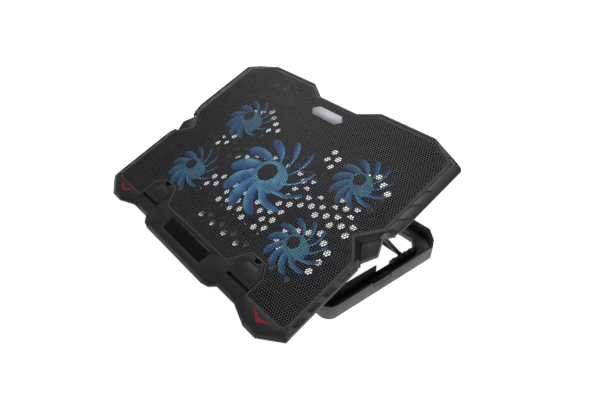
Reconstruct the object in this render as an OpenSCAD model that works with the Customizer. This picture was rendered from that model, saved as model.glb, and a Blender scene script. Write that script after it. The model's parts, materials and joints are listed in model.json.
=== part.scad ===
// Laptop cooling pad on a fold-flat stand frame.
// Frame: +X to the user's right, +Y to the rear, +Z up, origin at the middle of the footprint on the table.
// Shapes of the deck are drawn in deck coordinates: y = 0 on the front edge of the mesh, z = 0 on its top.

/* [Deck] */
// Tilt of the deck above the table, with the stand open
tilt = 25; // [20:1:26]
// Height of the mesh's front edge above the table
deck_rise = 24; // [23:0.5:26]
// Half width across the rear wings
rear_half_w = 190; // [180:1:200]
// Half width across the front wings
front_half_w = 185; // [178:1:190]
// Rear edge of the deck
deck_rear = 267; // [260:1:275]
// Front edge of the deck, ahead of the mesh
deck_front = 24; // [20:1:28]
// Height of the rim above the mesh
rim_h = 1; // [0.5:0.1:1.5]
// Depth of the overhanging rim below the mesh
rim_t = 4; // [3.5:0.5:5]
// How far the skirt stands in from the rim
undercut = 6; // [2:0.5:6.5]
// Depth of the bezel's skirt below the mesh
skirt_h = 7; // [6:0.5:9]
// Depth of the bottom shell's underside below the mesh
deck_t = 28; // [26:0.5:28]
// Wall thickness of the moulded shells
wall = 2.2; // [1.8:0.1:2.6]
// Thickness of the metal mesh
mesh_t = 1; // [0.6:0.1:1.4]

/* [Fans] */
// Radius swept by the middle fan
big_fan_r = 59.8; // [50:0.2:60]
// Radius swept by each corner fan
small_fan_r = 36.3; // [30:0.1:37]
// Sideways distance of the corner fans from the middle
fan_x = 104.6; // [100:0.2:108]
// Rear row of fans
fan_rear_y = 177.8; // [174:0.2:182]
// Front row of fans
fan_front_y = 74.2; // [72:0.2:78]
// Middle fan
fan_mid_y = 124.1; // [122:0.1:126]
// Blades on each rotor
blades = 11; // [7:1:13]

/* [Vents] */
// Column pitch of the honeycomb vents
vent_dx = 12.4; // [12:0.1:14]
// Row pitch of the honeycomb vents
vent_dy = 14; // [13.5:0.1:15]
// Corner radius of one hexagonal vent
vent_r = 5; // [4:0.1:5.5]

/* [Stand] */
// Half width of the stand frame
stand_half_w = 179; // [175:1:182]
// Width of a stand rail
rail_w = 19; // [17:0.5:20]
// Height of the stand frame above the table
stand_h = 17.8; // [16:0.1:17.8]
// Front edge of the stand frame, behind the mesh's front edge
stand_front = 54.5; // [53:0.5:56]
// Rear edge of the stand frame
stand_rear = 248; // [244:1:252]
// Joint between the two halves of the frame
seam_y = 131; // [128:1:134]
// Radius of the hinge pins
hinge_r = 2; // [1.5:0.1:2.2]
// Radius of the prop's bars
prop_r = 2.5; // [2:0.1:2.5]

/* [Stoppers] */
// Middle of each flip-up stopper
stop_x = 96; // [94:0.5:98]
// Width of a stopper
stop_w = 37; // [34:0.5:37]
// Length of a stopper
stop_l = 28; // [24:0.5:29]

/* [Hidden] */
$fn = 64;
run_gap = 0.05;                          // radial clearance of pins that turn
floor_z = -deck_t + wall;                // top of the bottom shell's floor
shell_split = -skirt_h;
bezel_roof = -4.4;                       // top of the hollow inside the bezel
band_top = -0.5;                         // top of the widest band round the bezel
front_reach = deck_front * cos(tilt) + band_top * sin(tilt);
origin_y = (stand_rear - front_reach) / 2;
badge_sink = 0.3;                        // depth of the badge's seat in the mesh
plate_sink = 0.8;                        // depth of the front plate's seat
chevron_sink = 0.6;
bolt_pts = [[100, 262], [15, 247.5], [173.8, 200], [173.8, 50], [150, 1]];
bolt_r = 1.2;
bolt_l = 6;

// fans
big_fan = [0, fan_mid_y];
small_fans = [[-fan_x, fan_rear_y], [fan_x, fan_rear_y], [-fan_x, fan_front_y], [fan_x, fan_front_y]];
fan_z = -20.5;                           // underside of the rotors
rotor_h = 15.5;
hub_share = 0.36;                        // hub radius as a share of the rotor's
shaft_r = 1.5;
motor_base = 1.5;
big_motor_r = 20;
small_motor_r = 13;
motor_pad = 1;                           // pads under the motors keep them clear of the vents
shaft_foot = floor_z + motor_pad + motor_base;
big_keep = 31;                           // no vents within this radius of the middle motor
small_keep = 22.5;

// electronics
board_x = -112;
board_y = 222;
board_w = 62;
board_d = 31;
board_lift = 4;
port_w = 13.2;
port_h = 5.8;
port_d = 14;
port_z = floor_z + board_lift + 1.6;
port_back = 257;
port_in_x = -132;
port_out_x = -112;
wheel_x = -88;
wheel_y = 251.5;
wheel_z = port_z + 0.6;
wheel_r = 6.6;
axle_r = 1.2;

// stoppers, deck coordinates
stop_y = 6.5;                            // hinge axis
stop_z = -1.2;
stop_top = rim_h + 0.4;
stop_pin_r = 0.7;
well_z = -2.6;                           // floor of the stoppers' wells

// prop
foot_y = 187;                            // where its foot bar rests
foot_z = 12;
leg_x = 156.8;
lift_y = 148;                            // its pivot, deck coordinates
lift_z = -deck_t - 3.5;
prop_pin_r = 1.5;

// stand, table coordinates
hinge_y = 65;
hinge_z = 14;
lug_x = 106;                             // middle of each hinge lug
lug_w = 12;
lug_r = 4.5;
floor_clear = 1;                         // frame's underside above the table
inner_x = stand_half_w - rail_w;
low_wall = 7.2;                          // inner wall beside the rack
step_y = 143.7;                          // where the inner wall drops
rack_y = 172.6;
rack_pitch = 9.6;
rack_teeth = 5;
rack_l = 42;
bar_seat = foot_z - prop_r - 0.2;        // ledge under the prop's foot bar
foot_x = 169.5;
foot_spots = [72, 214];
foot_r = 7;
deck_foot_x = 120;
deck_foot_r = 4;
deck_foot_at = to_deck(20, deck_foot_r);

// ---- helpers ----
function unit(v) = v / norm(v);
function turn(v) = [v[1], -v[0]];
function xy(p) = [p[0], p[1]];

// A right-hand half outline, rear to front, closed with its mirror image.
function both(h) = concat(h, [for (i = [len(h) - 1:-1:0]) [-h[i][0], h[i][1], h[i][2]]]);

// Mitred inset of a clockwise outline; the third value of a point is its corner radius.
function inset(p, d) = let (n = len(p)) [for (i = [0:n - 1])
    let (b = xy(p[i]), u = unit(b - xy(p[(i + n - 1) % n])), v = unit(xy(p[(i + 1) % n]) - b),
         a = turn(u), c = turn(v), m = b + d * (a + c) / (1 + a * c))
    [m[0], m[1], p[i][2] == 0 ? 0 : max(p[i][2] - d, 0.4)]];

// Arc of `steps` chords in place of a sharp corner b between a and c.
function arc_corner(a, b, c, r, steps = 5) = r == 0 ? [b] :
    let (u = unit(a - b), v = unit(c - b), half = acos(u * v) / 2, t = r / tan(half),
         m = b + unit(u + v) * r / sin(half), s = b + u * t - m, e = b + v * t - m,
         w = acos(s * e / r / r), k = s[0] * e[1] - s[1] * e[0] > 0 ? 1 : -1)
    [for (i = [0:steps]) let (q = k * w * i / steps)
        m + [s[0] * cos(q) - s[1] * sin(q), s[0] * sin(q) + s[1] * cos(q)]];

function rounded(p) = let (n = len(p)) [for (i = [0:n - 1])
    each arc_corner(xy(p[(i + n - 1) % n]), xy(p[i]), xy(p[(i + 1) % n]), p[i][2])];

module plate(p, z0, z1) translate([0, 0, z0]) linear_extrude(z1 - z0) polygon(rounded(p));

// Deck coordinates to table coordinates.
module on_deck() translate([0, -origin_y, deck_rise]) rotate([tilt, 0, 0]) children();
module on_table() translate([0, -origin_y, 0]) children();
module bar_x(x0, x1, r) translate([x0, 0, 0]) rotate([0, 90, 0]) cylinder(h = x1 - x0, r = r);
module two(s) if (s < 0) mirror([1, 0, 0]) children(); else children();

// Table coordinates of a deck point, and the other way round.
function to_table(y, z) = [y * cos(tilt) - z * sin(tilt), deck_rise + y * sin(tilt) + z * cos(tilt)];
function to_deck(y, z) = [y * cos(tilt) + (z - deck_rise) * sin(tilt),
    (z - deck_rise) * cos(tilt) - y * sin(tilt)];
hinge_at = to_deck(hinge_y, hinge_z);

// ---- outlines of the deck ----
rim_outline = both([[33, deck_rear - 15.3, 0], [60.3, deck_rear, 0], [140, deck_rear, 3],
    [rear_half_w, deck_rear - 20.5, 7], [rear_half_w, 152, 0], [rear_half_w - 2.5, 143, 0],
    [164.5, 117, 2], [179, 100.5, 0], [front_half_w, 91, 3], [front_half_w, -7, 2],
    [157, -deck_front, 2], [138, -deck_front, 0], [112, -15, 0], [79, -15, 0], [71.5, -21.5, 0],
    [61, -deck_front, 0]]);

mesh_outline = both([[31.5, 248.5, 0], [59, 264, 0], [139.5, 264, 0], [174.8, 243.5, 8],
    [174.8, 141, 2], [153.5, 116, 2], [174.8, 93, 2], [174.8, 0, 7], [117, 0, 3], [117, 23, 0],
    [105.5, 37, 0], [81.5, 37, 0], [63.4, 13, 0]]);

tray_outline = both([[36, 243, 0], [58, 257, 4], [150, 257, 12], [168, 236, 10], [168, 142, 4],
    [150, 120, 4], [150, 110, 4], [160, 94, 4], [160, 24, 10], [146, 8, 8]]);

notch_shelf = [[150, 117, 0], [178, 135, 0], [187.6, 116, 0], [178, 98, 0]];

stand_outer = both([[154.6, stand_rear, 0], [171.5, 234, 0], [stand_half_w, 222, 0],
    [stand_half_w, stand_front, 12]]);

stand_inner = both([[145.4, 227.2, 0], [stand_half_w - rail_w, 212, 0],
    [stand_half_w - rail_w, stand_front + rail_w, 4]]);

// ---- deck ----
module top_bezel() color([0.17, 0.17, 0.19]) on_deck() {
    difference() {
        union() {
            plate(inset(rim_outline, undercut), shell_split, -1.5);
            plate(rim_outline, -rim_t, band_top);
            plate(inset(rim_outline, 1.4), band_top - 0.1, rim_h);
        }
        plate(inset(mesh_outline, 4), -20, 20);
        plate(mesh_outline, -mesh_t, 20);
        difference() {
            plate(inset(rim_outline, undercut + wall), shell_split - 1, bezel_roof);
            plate(inset(mesh_outline, -2), shell_split - 2, -2);
        }
        // room for the corner fans' blade tips
        for (f = small_fans) translate([f[0], f[1], shell_split - 1])
            cylinder(h = bezel_roof - shell_split + 1, r = small_fan_r + 1.5);
        // seat of the front plate
        plate(front_plate_outline, rim_h - plate_sink, 20);
        for (s = [-1, 1]) two(s) {
            translate([0, 0, rim_h - chevron_sink]) linear_extrude(5) polygon(chevron_pts);
            stopper_well();
        }
        for (s = [-1, 1], p = bolt_pts) translate([s * p[0], p[1], shell_split - wall])
            cylinder(h = bolt_l, r = bolt_r);
    }
}

module mesh_plate() color([0.12, 0.12, 0.13]) on_deck() difference() {
    plate(inset(mesh_outline, 0.3), -mesh_t, 0);
    plate(badge_outline, -badge_sink, 1);
}

badge_outline = [[-20, 237.9, 0], [20, 237.9, 0], [27.3, 230.4, 0], [19.8, 222.8, 0],
    [-19.8, 222.8, 0], [-27.3, 230.4, 0]];
module rear_badge() color([0.75, 0.75, 0.8]) on_deck() plate(badge_outline, -badge_sink, 0.9);

front_plate_outline = [[-41, 7, 2.5], [41, 7, 2.5], [41, -10.5, 2.5], [-41, -10.5, 2.5]];
module front_plate() color([0.05, 0.05, 0.06]) on_deck()
    plate(front_plate_outline, rim_h - plate_sink, rim_h - 0.2);

chevron_pts = [[131.7, -2.8], [147.4, -12.6], [163.1, -3], [147.8, -8.4]];
module chevron(s) color([0.8, 0.08, 0.1]) on_deck() two(s)
    translate([0, 0, rim_h - chevron_sink]) linear_extrude(0.8) polygon(chevron_pts);

module bottom_shell() color([0.14, 0.14, 0.15]) on_deck() {
    difference() {
        union() {
            plate(inset(rim_outline, undercut + 0.5), shell_split - wall, shell_split);
            plate(tray_outline, -deck_t, shell_split);
            for (s = [-1, 1]) two(s) difference() {
                plate(notch_shelf, shell_split - wall, -4);
                plate(rim_outline, shell_split, 0);
            }
        }
        plate(inset(tray_outline, wall), floor_z, 0);
        for (p = vents) translate([p[0], p[1], -deck_t - 1]) cylinder(h = 8, r = vent_r, $fn = 6);
        for (s = [-1, 1], p = bolt_pts) translate([s * p[0], p[1], -20]) cylinder(h = 20, r = bolt_r);
        for (s = [-1, 1]) translate([s * deck_foot_x, deck_foot_at[0], deck_foot_at[1]])
            bar_x(-20, 20, deck_foot_r);
        rear_cutouts();
    }
    for (f = small_fans) translate([f[0], f[1], floor_z]) cylinder(h = motor_pad, r = small_motor_r + 4);
    translate([0, fan_mid_y, floor_z]) cylinder(h = motor_pad, r = big_motor_r + 5);
    // posts under the board
    for (x = [-27, 27], y = [4, 14]) translate([board_x + x, board_y + y, floor_z])
        cylinder(h = board_lift, r = 2.5);
}

// Vents: a hexagonal grid, kept where a fan draws air or in the bands between the fans.
function fan_gap(p) = min([for (f = small_fans) norm(p - f)]);
function near_fan(p) = norm(p - big_fan) < big_fan_r - 5 || fan_gap(p) < small_fan_r - 2;
function in_band(p) = let (x = abs(p[0]), y = p[1])
    x > 29 && x < 140 && y > 118 && y < 143
    || x > 29 && x < 46 && y > 34 && y < 150
    || p[0] > 29 && x < 46 && y > 178 && y < 210
    || x < 46 && y > 34 && y < 66
    || x > 62 && x < 75 && (y > 70 && y < 94 || y > 180 && y < 200);
function off_motor(p) = norm(p - big_fan) > big_keep && fan_gap(p) > small_keep;
vents = [for (i = [-12:11], j = [0:14])
    let (p = [(i + 0.5) * vent_dx, 37 + (j + abs(i % 2) / 2) * vent_dy])
    if ((near_fan(p) || in_band(p)) && off_motor(p)) p];

// ---- fans ----
// One blade: a swept crescent between the hub and the tip.
module blade(r_hub, r_tip) intersection() {
    difference() {
        translate([r_tip * 0.5, r_tip * 0.42]) circle(r = r_tip * 0.66);
        translate([r_tip * 0.5, r_tip * 0.52]) circle(r = r_tip * 0.68);
    }
    difference() {
        circle(r = r_tip);
        circle(r = r_hub - 0.5);
    }
    translate([0, -r_tip]) square([r_tip, 2 * r_tip]);
}

module rotor(at, r_tip) color([0.15, 0.45, 0.55]) on_deck() translate([at[0], at[1], fan_z]) {
    r_hub = r_tip * hub_share;
    difference() {
        cylinder(h = rotor_h, r = r_hub);
        translate([0, 0, -1]) cylinder(h = rotor_h - 1, r = r_hub - 1.5);
        cylinder(h = 20, r = shaft_r);
    }
    difference() {
        translate([0, 0, rotor_h - 6]) cylinder(h = 5.5, r = 3.5);
        translate([0, 0, -1]) cylinder(h = 20, r = shaft_r);
    }
    for (k = [0:blades - 1]) rotate(360 / blades * k) translate([0, 0, 1])
        linear_extrude(rotor_h - 3) blade(r_hub, r_tip);
}

module shaft(at) color([0.7, 0.7, 0.72]) on_deck()
    translate([at[0], at[1], shaft_foot]) cylinder(h = fan_z + rotor_h - shaft_foot, r = shaft_r);

module motor(at, r) color([0.3, 0.3, 0.32]) on_deck()
    translate([at[0], at[1], floor_z + motor_pad]) difference() {
        union() {
            cylinder(h = motor_base, r = r);
            cylinder(h = 12, r = 3);
            translate([0, 0, motor_base]) cylinder(h = 7, r = r * 0.6);
        }
        translate([0, 0, motor_base]) cylinder(h = 20, r = shaft_r + run_gap);
    }

// ---- electronics ----
// Lamps stand on the motor bases, inside the rotors' hubs.
module led_ring(at, r, n) for (k = [0:n - 1]) translate([at[0], at[1], shaft_foot])
    rotate(360 / n * k + 30) translate([r, 0, 0]) {
        translate([-1, -1, 0]) cube([2, 2, 3]);
        translate([0, 0, 3]) cylinder(h = 2.5, r = 1.2);
    }
module fan_leds() color([0.3, 0.7, 1]) on_deck() {
    led_ring(big_fan, 15.8, 6);
    for (f = small_fans) led_ring(f, 9.7, 4);
}

module control_board() color([0.1, 0.35, 0.15]) on_deck()
    translate([board_x - board_w / 2, board_y, floor_z + board_lift])
        cube([board_w, board_d, port_z - floor_z - board_lift]);

module usb_port(x) color([0.75, 0.75, 0.77]) on_deck() translate([x, port_back - port_d, port_z])
    difference() {
        translate([-port_w / 2, 0, 0]) cube([port_w, port_d, port_h]);
        difference() {
            translate([-port_w / 2 + 0.5, 4, 0.5]) cube([port_w - 1, port_d, port_h - 1]);
            translate([-port_w / 2 + 1.2, 3, 2.9]) cube([port_w - 2.4, 10, 1.6]);
        }
    }

module speed_wheel() color([0.1, 0.1, 0.11]) on_deck() translate([wheel_x, wheel_y, wheel_z])
    difference() {
        union() {
            cylinder(h = 4, r = wheel_r);
            for (k = [0:23]) rotate(15 * k) translate([wheel_r, 0, 0]) cylinder(h = 4, r = 0.5);
        }
        translate([0, 0, -1]) cylinder(h = 6, r = axle_r + run_gap);
    }
module wheel_axle() color([0.7, 0.7, 0.72]) on_deck() translate([wheel_x, wheel_y, port_z])
    cylinder(h = 6.4, r = axle_r);

module rear_cutouts() {
    for (x = [port_in_x, port_out_x]) translate([x - port_w / 2, 240, port_z])
        cube([port_w, 40, port_h]);
    translate([wheel_x - 8, 240, wheel_z - 0.6]) cube([16, 40, 5.2]);
}

// Flat ribbons of paired wires from the board to each motor, laid along the floor.
module wire(a, b) {
    v = b - a;
    translate(a) rotate(atan2(v[1], v[0])) translate([0, -1.2]) square([norm(v), 2.4]);
    translate(b) circle(r = 1.35);
}
module run(p) translate([0, 0, floor_z + 1]) linear_extrude(1)
    for (i = [0:len(p) - 2]) wire(p[i], p[i + 1]);
// Last point of a ribbon: just outside the motor at f.
function reach(f, from, r) = f + (r + 1.3) * unit(from - f);
wire_paths = [
    [[-128, 221], [-132, 214], reach(small_fans[0], [-132, 214], small_motor_r)],
    [[-100, 221], [-96, 213], [-20, 213], reach(big_fan, [-20, 213], big_motor_r)],
    [[-104, 221], [-104, 216.5], [64, 216.5], reach(small_fans[1], [64, 216.5], small_motor_r)],
    [[-124, 221], [-143, 206], [-143, 110], reach(small_fans[2], [-143, 110], small_motor_r)],
    [[-108, 221], [-108, 220], [143, 220], [143, 110], reach(small_fans[3], [143, 110], small_motor_r)]];
module fan_wiring() color([0.5, 0.1, 0.1]) on_deck() for (p = wire_paths) run(p);

module case_screws() color([0.2, 0.2, 0.22]) on_deck() for (s = [-1, 1], p = bolt_pts)
    translate([s * p[0], p[1], shell_split - wall]) {
        cylinder(h = bolt_l, r = bolt_r);
        translate([0, 0, -1.6]) difference() {
            cylinder(h = 1.6, r = 2.4);
            translate([-1.5, -0.3, -0.1]) cube([3, 0.6, 0.8]);
            translate([-0.3, -1.5, -0.1]) cube([0.6, 3, 0.8]);
        }
    }

// ---- feet under the deck's front edge ----
module deck_foot(s) color([0.08, 0.08, 0.08]) on_deck()
    translate([s * deck_foot_x, deck_foot_at[0], deck_foot_at[1]]) bar_x(-20, 20, deck_foot_r);

// ---- stoppers ----
function stop_pts(g) = [[stop_w / 2 + g, stop_y - 2 - g], [stop_w / 2 + g, stop_y + stop_l - 13],
    [stop_w / 2 - 9, stop_y + stop_l + g], [-stop_w / 2 + 6, stop_y + stop_l + g],
    [-stop_w / 2 - g, stop_y + stop_l - 6], [-stop_w / 2 - g, stop_y - 2 - g]];
module stopper_well() translate([stop_x, 0, 0]) {
    translate([0, 0, well_z]) linear_extrude(10) polygon(stop_pts(0.5));
    // deeper trough where the hinge swings
    translate([-stop_w / 2 - 0.5, stop_y - 5, well_z - 0.4]) cube([stop_w + 1, 6, 10]);
    translate([0, stop_y + stop_l, well_z]) cylinder(h = 10, r = 6);
    translate([0, stop_y, stop_z]) bar_x(-stop_w / 2 - 2.5, stop_w / 2 + 2.5, stop_pin_r);
}
module stopper(s) color([0.2, 0.2, 0.22]) on_deck() two(s) translate([stop_x, 0, 0]) difference() {
    union() {
        translate([0, 0, -0.9]) linear_extrude(stop_top + 0.9) difference() {
            polygon(stop_pts(0));
            translate([0, stop_y + stop_l + 1]) circle(r = 5);
            translate([-stop_w, stop_y - 4]) square([2 * stop_w, 4]);
        }
        translate([0, stop_y, stop_z]) bar_x(-stop_w / 2, stop_w / 2, 1.3);
        translate([-stop_w / 2, stop_y - 1.3, stop_z]) cube([stop_w, 2.6, stop_top - stop_z]);
    }
    translate([0, stop_y, stop_z]) bar_x(-stop_w, stop_w, stop_pin_r + run_gap);
    // raised border round a sunken panel
    translate([-stop_w / 2 + 3, stop_y + 3, stop_top - 0.4]) cube([stop_w - 6, stop_l - 17, 2]);
}
module stopper_pin(s) color([0.7, 0.7, 0.72]) on_deck() two(s) translate([stop_x, stop_y, stop_z])
    bar_x(-stop_w / 2 - 2.5, stop_w / 2 + 2.5, stop_pin_r);

// ---- hinge of the stand ----
module hinge_lug(s) color([0.12, 0.12, 0.13]) on_deck() translate([s * lug_x, hinge_at[0], 0])
    difference() {
        union() {
            translate([-lug_w / 2, -lug_r, hinge_at[1]]) cube([lug_w, 2 * lug_r, -deck_t - hinge_at[1]]);
            translate([0, 0, hinge_at[1]]) bar_x(-lug_w / 2, lug_w / 2, lug_r);
            translate([-lug_w / 2 - 5, -lug_r, -deck_t - 2]) cube([lug_w + 10, 13, 2]);
        }
        translate([0, 0, hinge_at[1]]) bar_x(-lug_w, lug_w, hinge_r);
    }
module hinge_pin(s) color([0.7, 0.7, 0.72]) on_table() translate([s * lug_x, hinge_y, hinge_z])
    bar_x(-lug_w / 2 - 8, lug_w / 2 + 8, hinge_r);

// ---- prop ----
lift_at = to_table(lift_y, lift_z);
leg_v = [foot_y, foot_z] - lift_at;
leg_len = norm(leg_v);
leg_fall = atan2(leg_v[1], leg_v[0]);
module prop_lug(s) color([0.12, 0.12, 0.13]) on_deck() translate([s * leg_x, lift_y, lift_z])
    difference() {
        for (x = [-6.4, 3.2]) {
            translate([x, -3.5, 0]) cube([3.2, 7, -deck_t - lift_z]);
            bar_x(x, x + 3.2, 3.5);
        }
        bar_x(-10, 10, prop_pin_r);
    }
module prop_pin(s) color([0.7, 0.7, 0.72]) on_deck() translate([s * leg_x, lift_y, lift_z])
    bar_x(-6.4, 6.4, prop_pin_r);
module prop_bracket() color([0.1, 0.1, 0.11]) on_table() {
    for (s = [-1, 1]) translate([s * leg_x, lift_at[0], lift_at[1]]) difference() {
        union() {
            bar_x(-2.8, 2.8, 2.9);
            rotate([leg_fall, 0, 0]) rotate([-90, 0, 0]) cylinder(h = leg_len, r = prop_r);
        }
        bar_x(-5, 5, prop_pin_r + run_gap);
    }
    translate([0, foot_y, foot_z]) bar_x(-leg_x - 3.5, leg_x + 3.5, prop_r);
}

// ---- stand frame ----
module channel() difference() {
    plate(stand_outer, floor_clear, stand_h);
    plate(inset(stand_outer, wall), floor_clear + 2, stand_h + 5);
}
module channel_ring() {
    difference() {
        channel();
        plate(stand_inner, -5, 40);
    }
    difference() {
        plate(inset(stand_inner, -2), floor_clear + 1, stand_h);
        plate(stand_inner, -5, 40);
    }
}
module feet_sockets() for (s = [-1, 1], y = foot_spots) translate([s * foot_x, y, -1])
    cylinder(h = floor_clear + 2, r = foot_r);
module front_half(y) translate([-250, -50, -10]) cube([500, y + 50, 60]);
module seam_cut(s) two(s) translate([stand_half_w - 6, seam_y - 11.5, stand_h - 7]) cube([10, 30, 10]);

module stand_front_frame() color([0.25, 0.26, 0.28]) on_table() {
    difference() {
        intersection() {
            channel_ring();
            union() {
                front_half(seam_y);
                for (s = [-1, 1]) two(s) translate([inner_x - 1, seam_y - 5, floor_clear + 2])
                    cube([3, step_y - seam_y + 5, 40]);
            }
        }
        feet_sockets();
        for (s = [-1, 1]) seam_cut(s);
    }
    // knuckles that carry the hinge pins
    for (s = [-1, 1], x = [-1, 1]) translate([s * lug_x + x * (lug_w / 2 + 4.4), 0, 0]) difference() {
        union() {
            translate([-3.9, hinge_y - 4, floor_clear + 2]) cube([7.8, 8, hinge_z - floor_clear - 2]);
            translate([0, hinge_y, hinge_z]) bar_x(-3.9, 3.9, 3.7);
        }
        translate([0, hinge_y, hinge_z]) bar_x(-5, 5, hinge_r + run_gap);
    }
}

module stand_rear_frame() color([0.25, 0.26, 0.28]) on_table() {
    difference() {
        intersection() {
            channel_ring();
            translate([-250, seam_y, -10]) cube([500, 200, 60]);
        }
        feet_sockets();
        for (s = [-1, 1]) {
            seam_cut(s);
            // room for the front half's tongue, then the low wall beside the rack
            two(s) translate([inner_x - 1, seam_y - 1, floor_clear + 2]) cube([3, step_y - seam_y + 1, 40]);
        }
        translate([-inner_x - 3, step_y - 0.1, low_wall]) cube([2 * inner_x + 6, 88, 40]);
    }
    for (s = [-1, 1]) two(s) rack();
    // ledge across the rear channel
    translate([-140, 229, floor_clear + 1]) cube([280, 2.2, 9]);
}
module rack() {
    translate([inner_x - 1.8, rack_y - 2.4, floor_clear + 1])
        cube([2.7, rack_l, bar_seat - floor_clear - 1]);
    translate([inner_x + 0.8, rack_y - 2.4, floor_clear + 1]) cube([4, rack_l, 8]);
    for (k = [0:rack_teeth - 1]) translate([inner_x + 0.8, rack_y + k * rack_pitch, 0]) {
        translate([0, -2.3, 9]) cube([4, 4.6, 2.8]);
        translate([0, 0, 11.8]) bar_x(0, 4, 2.3);
    }
}

module seam_clip(s) color([0.07, 0.07, 0.08]) on_table() two(s) {
    translate([stand_half_w - 6, seam_y - 11.5, floor_clear + 2])
        cube([3.6, 29.5, stand_h - floor_clear - 3]);
    translate([stand_half_w - 4, seam_y + 2, stand_h - 3.4]) rotate([0, 90, 0]) cylinder(h = 4, r = 3.4);
}

module stand_feet() color([0.08, 0.08, 0.08]) on_table() for (s = [-1, 1], y = foot_spots)
    translate([s * foot_x, y, 0]) cylinder(h = floor_clear + 1, r = foot_r);

top_bezel();
mesh_plate();
bottom_shell();
rear_badge();
front_plate();
chevron(-1);  // chevron_left
chevron(1);  // chevron_right
rotor(big_fan, big_fan_r);  // big_fan_rotor
shaft(big_fan);  // big_fan_shaft
motor(big_fan, big_motor_r);  // big_fan_motor
rotor(small_fans[0], small_fan_r);  // rotor_rear_left
rotor(small_fans[1], small_fan_r);  // rotor_rear_right
rotor(small_fans[2], small_fan_r);  // rotor_front_left
rotor(small_fans[3], small_fan_r);  // rotor_front_right
shaft(small_fans[0]);  // shaft_rear_left
shaft(small_fans[1]);  // shaft_rear_right
shaft(small_fans[2]);  // shaft_front_left
shaft(small_fans[3]);  // shaft_front_right
motor(small_fans[0], small_motor_r);  // motor_rear_left
motor(small_fans[1], small_motor_r);  // motor_rear_right
motor(small_fans[2], small_motor_r);  // motor_front_left
motor(small_fans[3], small_motor_r);  // motor_front_right
fan_leds();
control_board();
usb_port(port_in_x);  // usb_port_in
usb_port(port_out_x);  // usb_port_out
speed_wheel();
wheel_axle();
fan_wiring();
case_screws();
deck_foot(-1);  // deck_foot_left
deck_foot(1);  // deck_foot_right
stopper(-1);  // stopper_left
stopper(1);  // stopper_right
stopper_pin(-1);  // stopper_pin_left
stopper_pin(1);  // stopper_pin_right
hinge_lug(-1);  // hinge_lug_left
hinge_lug(1);  // hinge_lug_right
prop_lug(-1);  // prop_lug_left
prop_lug(1);  // prop_lug_right
stand_front_frame();
stand_rear_frame();
seam_clip(-1);  // seam_clip_left
seam_clip(1);  // seam_clip_right
hinge_pin(-1);  // hinge_pin_left
hinge_pin(1);  // hinge_pin_right
stand_feet();
prop_bracket();
prop_pin(-1);  // prop_pin_left
prop_pin(1);  // prop_pin_right
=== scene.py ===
"""Looks of the laptop cooling pad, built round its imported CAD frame.

Sizes of pieces are in millimetres. Deck pieces are drawn in the deck's own coordinates, with y = 0 on the
front edge of the mesh and z = 0 on its top, and stand pieces in the CAD frame. Meshes are stored in metres.
"""

import json
import math

import bmesh
import bpy
from mathutils import Matrix, Vector, geometry

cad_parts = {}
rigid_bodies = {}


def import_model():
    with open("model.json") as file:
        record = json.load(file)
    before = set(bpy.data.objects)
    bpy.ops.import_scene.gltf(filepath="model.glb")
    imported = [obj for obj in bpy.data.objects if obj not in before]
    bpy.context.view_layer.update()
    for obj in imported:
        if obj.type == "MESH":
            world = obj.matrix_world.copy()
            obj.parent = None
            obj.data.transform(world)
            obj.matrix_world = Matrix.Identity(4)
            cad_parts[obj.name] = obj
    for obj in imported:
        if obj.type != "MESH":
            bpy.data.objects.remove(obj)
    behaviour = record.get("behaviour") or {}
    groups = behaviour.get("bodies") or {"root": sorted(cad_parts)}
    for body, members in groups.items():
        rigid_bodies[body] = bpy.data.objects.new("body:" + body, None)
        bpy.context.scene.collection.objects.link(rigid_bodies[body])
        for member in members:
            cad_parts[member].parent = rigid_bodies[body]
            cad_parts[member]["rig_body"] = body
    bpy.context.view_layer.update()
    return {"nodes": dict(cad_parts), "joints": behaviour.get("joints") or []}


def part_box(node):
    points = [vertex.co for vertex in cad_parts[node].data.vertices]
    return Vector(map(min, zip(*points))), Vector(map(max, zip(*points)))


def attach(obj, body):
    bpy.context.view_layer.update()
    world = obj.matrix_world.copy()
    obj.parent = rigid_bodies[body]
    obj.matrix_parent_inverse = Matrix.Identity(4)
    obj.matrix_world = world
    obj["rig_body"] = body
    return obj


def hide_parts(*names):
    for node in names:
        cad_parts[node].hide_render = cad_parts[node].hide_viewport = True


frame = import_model()
MM = 0.001

# ---- places taken from the frame ----
JOINTS = {j["name"]: j for j in frame["joints"]}
FAN_AXIS = Vector(JOINTS["big_fan_spin"]["axis"])
TILT = math.atan2(-FAN_AXIS.y, FAN_AXIS.z)
MID_FAN = Vector((0, 124.1, -10)) * MM
DECK_TURN = Matrix.Rotation(TILT, 4, "X")
DECK = Matrix.Translation(Vector(JOINTS["big_fan_spin"]["pos_m"]) - DECK_TURN @ MID_FAN) @ DECK_TURN
TO_DECK = DECK.inverted()
IN_FRAME = Matrix.Identity(4)


def deck_point(joint):
    """A joint's place in deck millimetres."""
    return TO_DECK @ Vector(JOINTS[joint]["pos_m"]) / MM


# ---- outlines, clockwise seen from above; the third value is a corner's radius ----
def mirrored(points):
    return [(-p[0], *p[1:]) for p in reversed(points)]


def both(half):
    return half + mirrored(half)


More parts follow.
